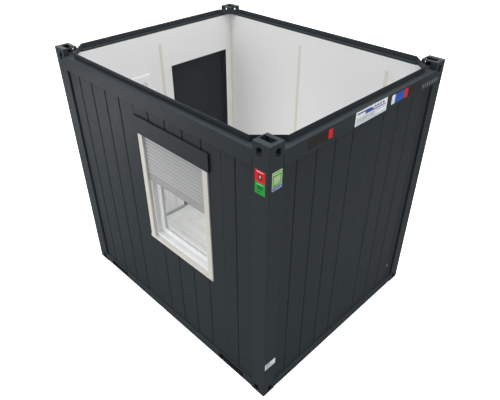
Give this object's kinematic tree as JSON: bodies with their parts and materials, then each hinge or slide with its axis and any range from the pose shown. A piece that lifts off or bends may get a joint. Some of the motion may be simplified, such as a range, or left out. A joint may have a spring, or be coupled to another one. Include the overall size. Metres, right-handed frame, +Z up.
{
  "type": "portable site cabin",
  "caption": "Steel-framed site cabin with recessed grooved walls, corner castings, fork pockets, a shuttered window, a hinged steel door and an open top.",
  "frame": {"origin": "centre of the footprint, level with the underside of the corner castings", "axes": "+X along the cabin, to the right as seen from the window wall; +Y from the window wall to the back wall; +Z up"},
  "size_m": [3.023, 2.435, 2.8],
  "materials": {
    "frame_paint": "satin",
    "cladding_paint": "satin",
    "casting_steel": "satin",
    "white_board": "matte",
    "beige_strip": "matte",
    "floor_vinyl": "satin",
    "floor_board": "matte",
    "grey_skirting": "satin",
    "cream_plastic": "satin",
    "white_plastic": "gloss",
    "shutter_slats": "satin",
    "clear_glass": "gloss",
    "door_paint": "satin",
    "hinge_steel": "satin",
    "handle_metal": "satin"
  },
  "bodies": {
    "cabin": {"corner_posts": "frame_paint", "top_castings": "casting_steel", "casting_lids": "casting_steel", "casting_cups": "casting_steel", "bottom_castings": "casting_steel", "corner_gussets": "frame_paint", "upstands": "frame_paint", "top_rail_front": "frame_paint", "top_rail_back": "frame_paint", "top_rail_left": "frame_paint", "top_rail_right": "frame_paint", "bottom_rail_front": "frame_paint", "bottom_rail_back": "frame_paint", "bottom_rail_left": "frame_paint", "bottom_rail_right": "frame_paint", "fork_pockets": "frame_paint", "floor_beams": "frame_paint", "floor_deck": "floor_board", "floor_covering": "floor_vinyl", "skirting": "grey_skirting", "front_panel_left": "cladding_paint", "front_panel_window": "cladding_paint", "front_panel_right": "cladding_paint", "back_panel_left": "cladding_paint", "back_panel_middle": "cladding_paint", "back_panel_right": "cladding_paint", "right_panel_front": "cladding_paint", "right_panel_back": "cladding_paint", "left_panel_back": "cladding_paint", "left_panel_over_door": "cladding_paint", "left_panel_front": "cladding_paint", "front_lining": "white_board", "back_lining": "white_board", "right_lining": "white_board", "left_lining_back": "white_board", "left_lining_over_door": "white_board", "left_lining_front": "white_board", "joint_strips": "beige_strip", "corner_covers": "white_board", "window_sill": "cream_plastic", "shutter_guides": "cream_plastic", "shutter_box": "cladding_paint", "shutter_curtain": "shutter_slats", "window_frame": "white_plastic", "window_sash": "white_plastic", "window_glass": "clear_glass", "door_frame": "door_paint", "door_stops": "door_paint", "door_trim": "door_paint", "door_threshold": "hinge_steel", "door_hinges": "hinge_steel", "distribution_box": "white_plastic", "cable_duct": "white_plastic"},
    "door": {"door_leaf": "door_paint", "leaf_hinges": "hinge_steel", "door_handles": "handle_metal"}
  },
  "joints": [
    {"name": "door_hinge", "type": "hinge", "parent": "cabin", "child": "door", "pos_m": [-1.487, 1.015, 1], "axis": [0, 0, -1], "range_deg": [0, 100]}
  ]
}
